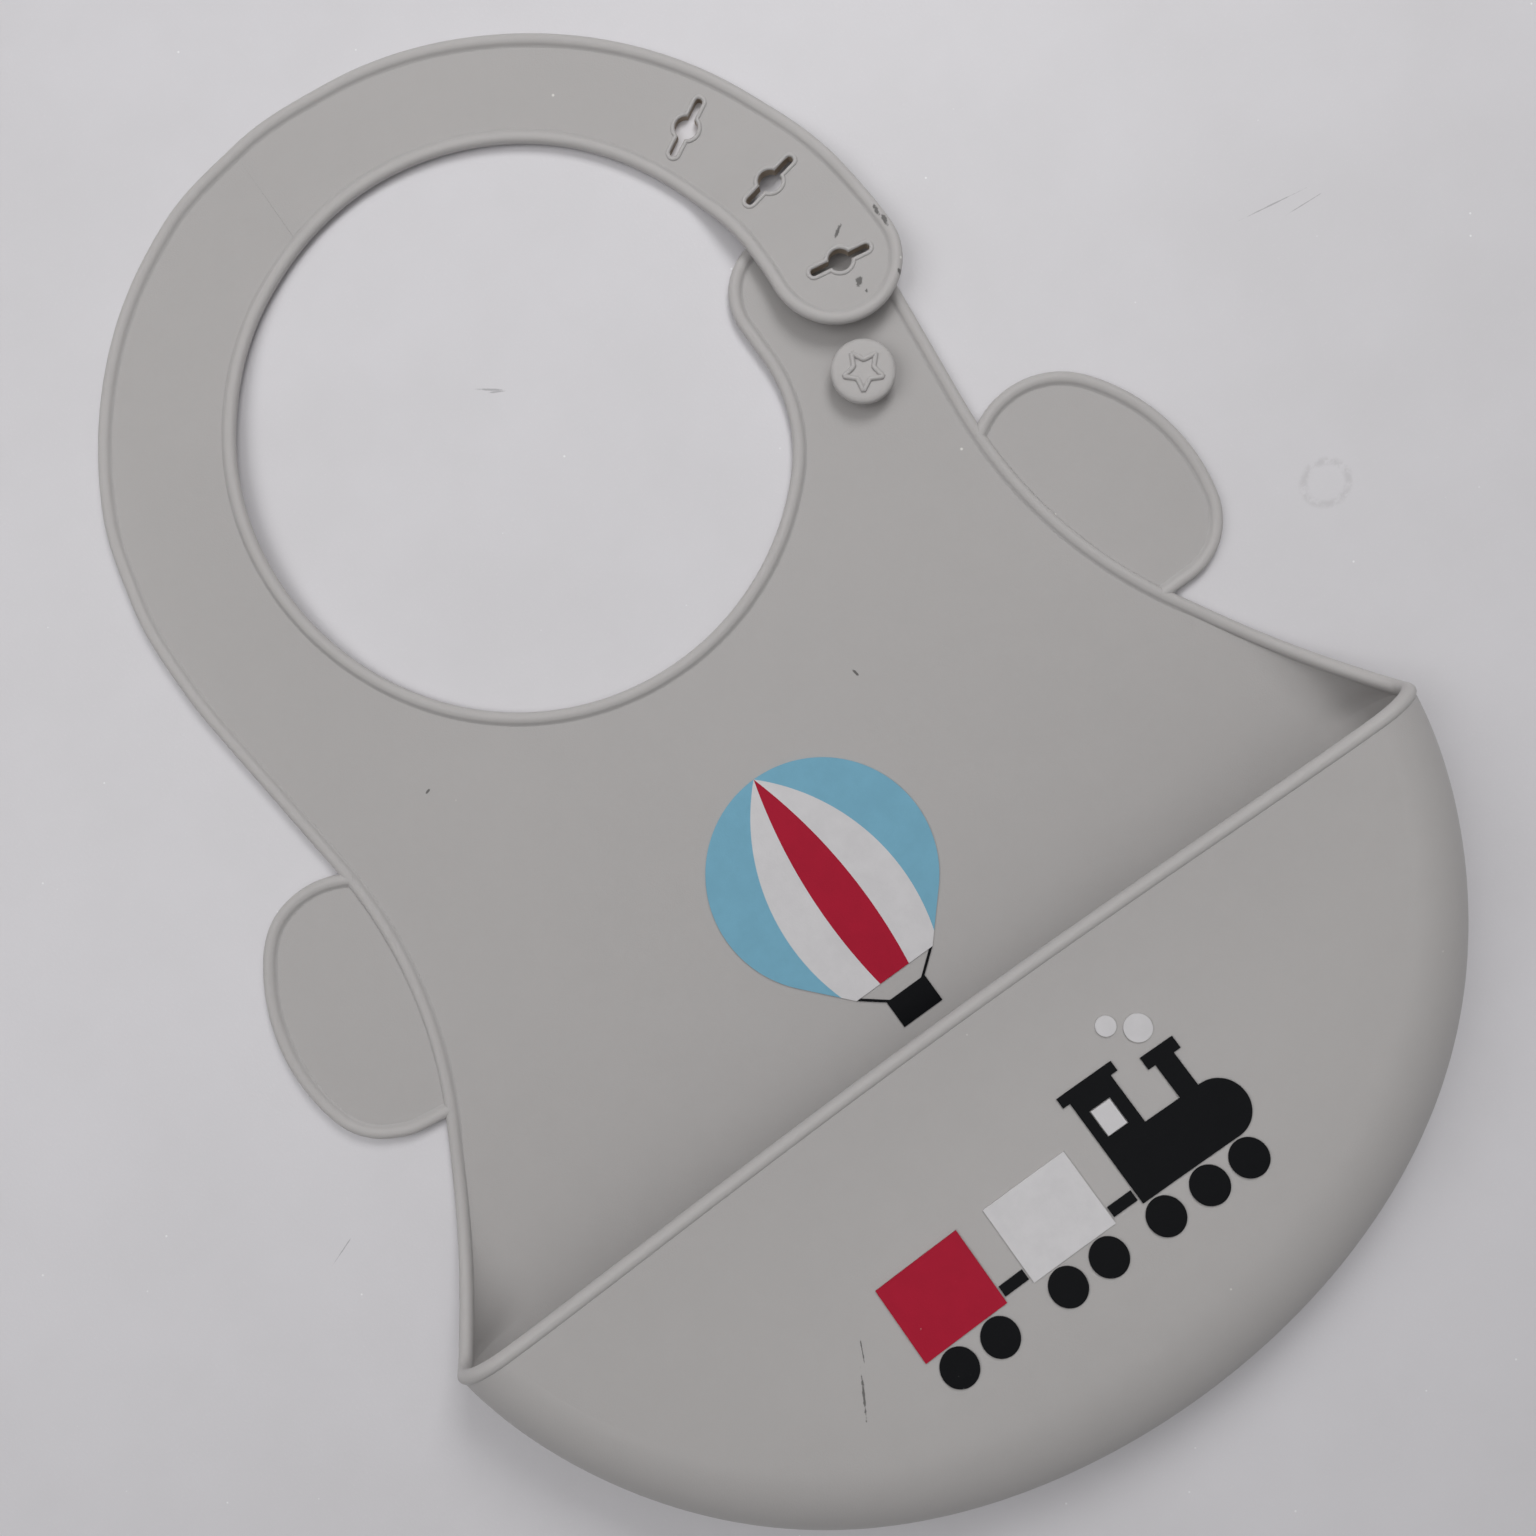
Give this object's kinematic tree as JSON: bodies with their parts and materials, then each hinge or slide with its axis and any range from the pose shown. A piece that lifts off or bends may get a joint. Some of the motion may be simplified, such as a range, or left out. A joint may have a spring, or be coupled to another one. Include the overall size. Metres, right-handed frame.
{
  "type": "silicone baby bib",
  "caption": "Soft silicone bib with a rolled food-catching pocket, round side flaps, and a neck strap whose slotted end buttons onto a stud.",
  "frame": {"origin": "on the back face, under the middle of the pocket's lip", "axes": "+X along the pocket's lip to the side of the button tab, +Y up the bib to the neck, +Z out of the front, away from the wearer"},
  "size_m": [0.2166, 0.2979, 0.0264],
  "materials": {
    "silicone": "matt, slightly velvety",
    "ink_blue": "matt print",
    "ink_white": "matt print",
    "ink_red": "matt print",
    "ink_black": "matt print"
  },
  "bodies": {
    "bib": {"chest_panel": "silicone", "flap_root_left": "silicone", "flap_root_right": "silicone", "side_bead_left": "silicone", "side_bead_right": "silicone", "neck_bead": "silicone", "pocket_tray": "silicone", "pocket_front": "silicone", "pocket_rim": "silicone", "balloon_blue_ink": "ink_blue", "balloon_white_ink": "ink_white", "balloon_red_ink": "ink_red", "balloon_black_ink": "ink_black", "train_black_ink": "ink_black", "train_white_ink": "ink_white", "train_red_ink": "ink_red"},
    "collar": {"shoulder_strap": "silicone", "shoulder_bead": "silicone", "button_tab": "silicone", "tab_bead": "silicone", "stud": "silicone"},
    "strap_back": {"strap_back": "silicone", "strap_back_bead": "silicone"},
    "strap_end": {"strap_end": "silicone", "strap_end_bead": "silicone"},
    "flap_left": {"flap_left": "silicone", "flap_bead_left": "silicone"},
    "flap_right": {"flap_right": "silicone", "flap_bead_right": "silicone"}
  },
  "joints": [
    {"name": "collar_fold", "type": "hinge", "parent": "bib", "child": "collar", "pos_m": [0, 0.0945, 0.0016], "axis": [1, 0, 0], "range_deg": [-85, 85], "stiffness_Nm_per_rad": 0.008},
    {"name": "strap_lift", "type": "hinge", "parent": "collar", "child": "strap_back", "pos_m": [0.0036, 0.1372, 0.0016], "axis": [0, -1, 0], "range_deg": [0, 90], "stiffness_Nm_per_rad": 0.004},
    {"name": "strap_curl", "type": "hinge", "parent": "strap_back", "child": "strap_end", "pos_m": [0.0036, 0.1372, 0.0016], "axis": [-0.7415, -0.6691, -0.0499], "range_deg": [0, 54], "stiffness_Nm_per_rad": 0.002},
    {"name": "flap_left_fold", "type": "hinge", "parent": "bib", "child": "flap_left", "pos_m": [-0.0889, 0.0385, 0.0016], "axis": [0.2113, 0.9774, 0], "range_deg": [-90, 90], "stiffness_Nm_per_rad": 0.003},
    {"name": "flap_right_fold", "type": "hinge", "parent": "bib", "child": "flap_right", "pos_m": [0.0889, 0.0385, 0.0016], "axis": [0.2113, -0.9774, 0], "range_deg": [-90, 90], "stiffness_Nm_per_rad": 0.003}
  ],
  "couplings": [
    {"joint": "strap_curl", "follows": "strap_lift", "ratio": 0.6}
  ]
}
